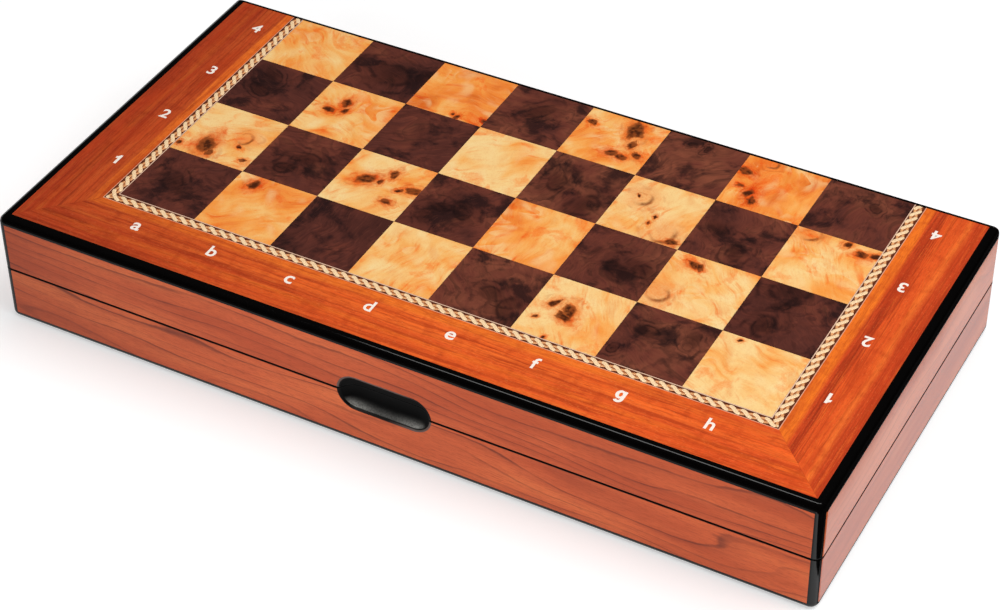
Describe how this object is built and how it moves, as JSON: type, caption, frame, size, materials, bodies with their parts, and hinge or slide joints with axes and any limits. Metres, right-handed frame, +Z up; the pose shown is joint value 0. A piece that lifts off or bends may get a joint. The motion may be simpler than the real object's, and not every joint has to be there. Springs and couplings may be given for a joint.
{
  "type": "folding chess board case",
  "caption": "Folding wooden chess case: two shallow trays hinged on a long side, a half board inlaid on each outer face, finger recess in front, shut.",
  "frame": {"origin": "centre of the underside of the closed case", "axes": "+X along the files from a to h, +Y towards the hinge at the back, +Z up through the closed case"},
  "size_m": [0.4, 0.202, 0.057],
  "materials": {
    "black_lacquer": "gloss black lacquer over solid wood",
    "side_veneer": "satin red-brown veneer with fine dark grain lines",
    "border_veneer": "gloss red-orange veneer, grain along each strip",
    "light_burl": "gloss golden burl veneer with swirls and small eyes",
    "dark_burl": "gloss dark red-brown burl veneer",
    "banding": "gloss inlaid braid banding",
    "stringing": "gloss pale boxwood line",
    "plywood": "sanded plywood",
    "felt": "short dark green pile",
    "brass": "polished brass",
    "nickelled_steel": "bright nickel plate"
  },
  "bodies": {
    "lower_half": {"left_hinge_pin": "brass", "lower_back_veneer": "side_veneer", "lower_back_wall": "black_lacquer", "lower_banding": "banding", "lower_dark_squares": "dark_burl", "lower_felt": "felt", "lower_front_border": "border_veneer", "lower_front_veneer": "side_veneer", "lower_front_wall": "black_lacquer", "lower_hinge_screws": "brass", "lower_left_border": "border_veneer", "lower_left_hinge_leaf": "brass", "lower_left_veneer": "side_veneer", "lower_left_wall": "black_lacquer", "lower_light_squares": "light_burl", "lower_magnets": "nickelled_steel", "lower_panel": "plywood", "lower_right_border": "border_veneer", "lower_right_hinge_leaf": "brass", "lower_right_veneer": "side_veneer", "lower_right_wall": "black_lacquer", "lower_stringing": "stringing", "right_hinge_pin": "brass"},
    "upper_half": {"upper_back_veneer": "side_veneer", "upper_back_wall": "black_lacquer", "upper_banding": "banding", "upper_dark_squares": "dark_burl", "upper_felt": "felt", "upper_front_border": "border_veneer", "upper_front_veneer": "side_veneer", "upper_front_wall": "black_lacquer", "upper_hinge_screws": "brass", "upper_left_border": "border_veneer", "upper_left_hinge_leaf": "brass", "upper_left_veneer": "side_veneer", "upper_left_wall": "black_lacquer", "upper_light_squares": "light_burl", "upper_magnets": "nickelled_steel", "upper_panel": "plywood", "upper_right_border": "border_veneer", "upper_right_hinge_leaf": "brass", "upper_right_veneer": "side_veneer", "upper_right_wall": "black_lacquer", "upper_stringing": "stringing"}
  },
  "joints": [
    {"name": "lid_hinge", "type": "hinge", "parent": "lower_half", "child": "upper_half", "pos_m": [0, 0.10007, 0.0285], "axis": [-1, 0, 0], "range_deg": [0, 180]}
  ]
}
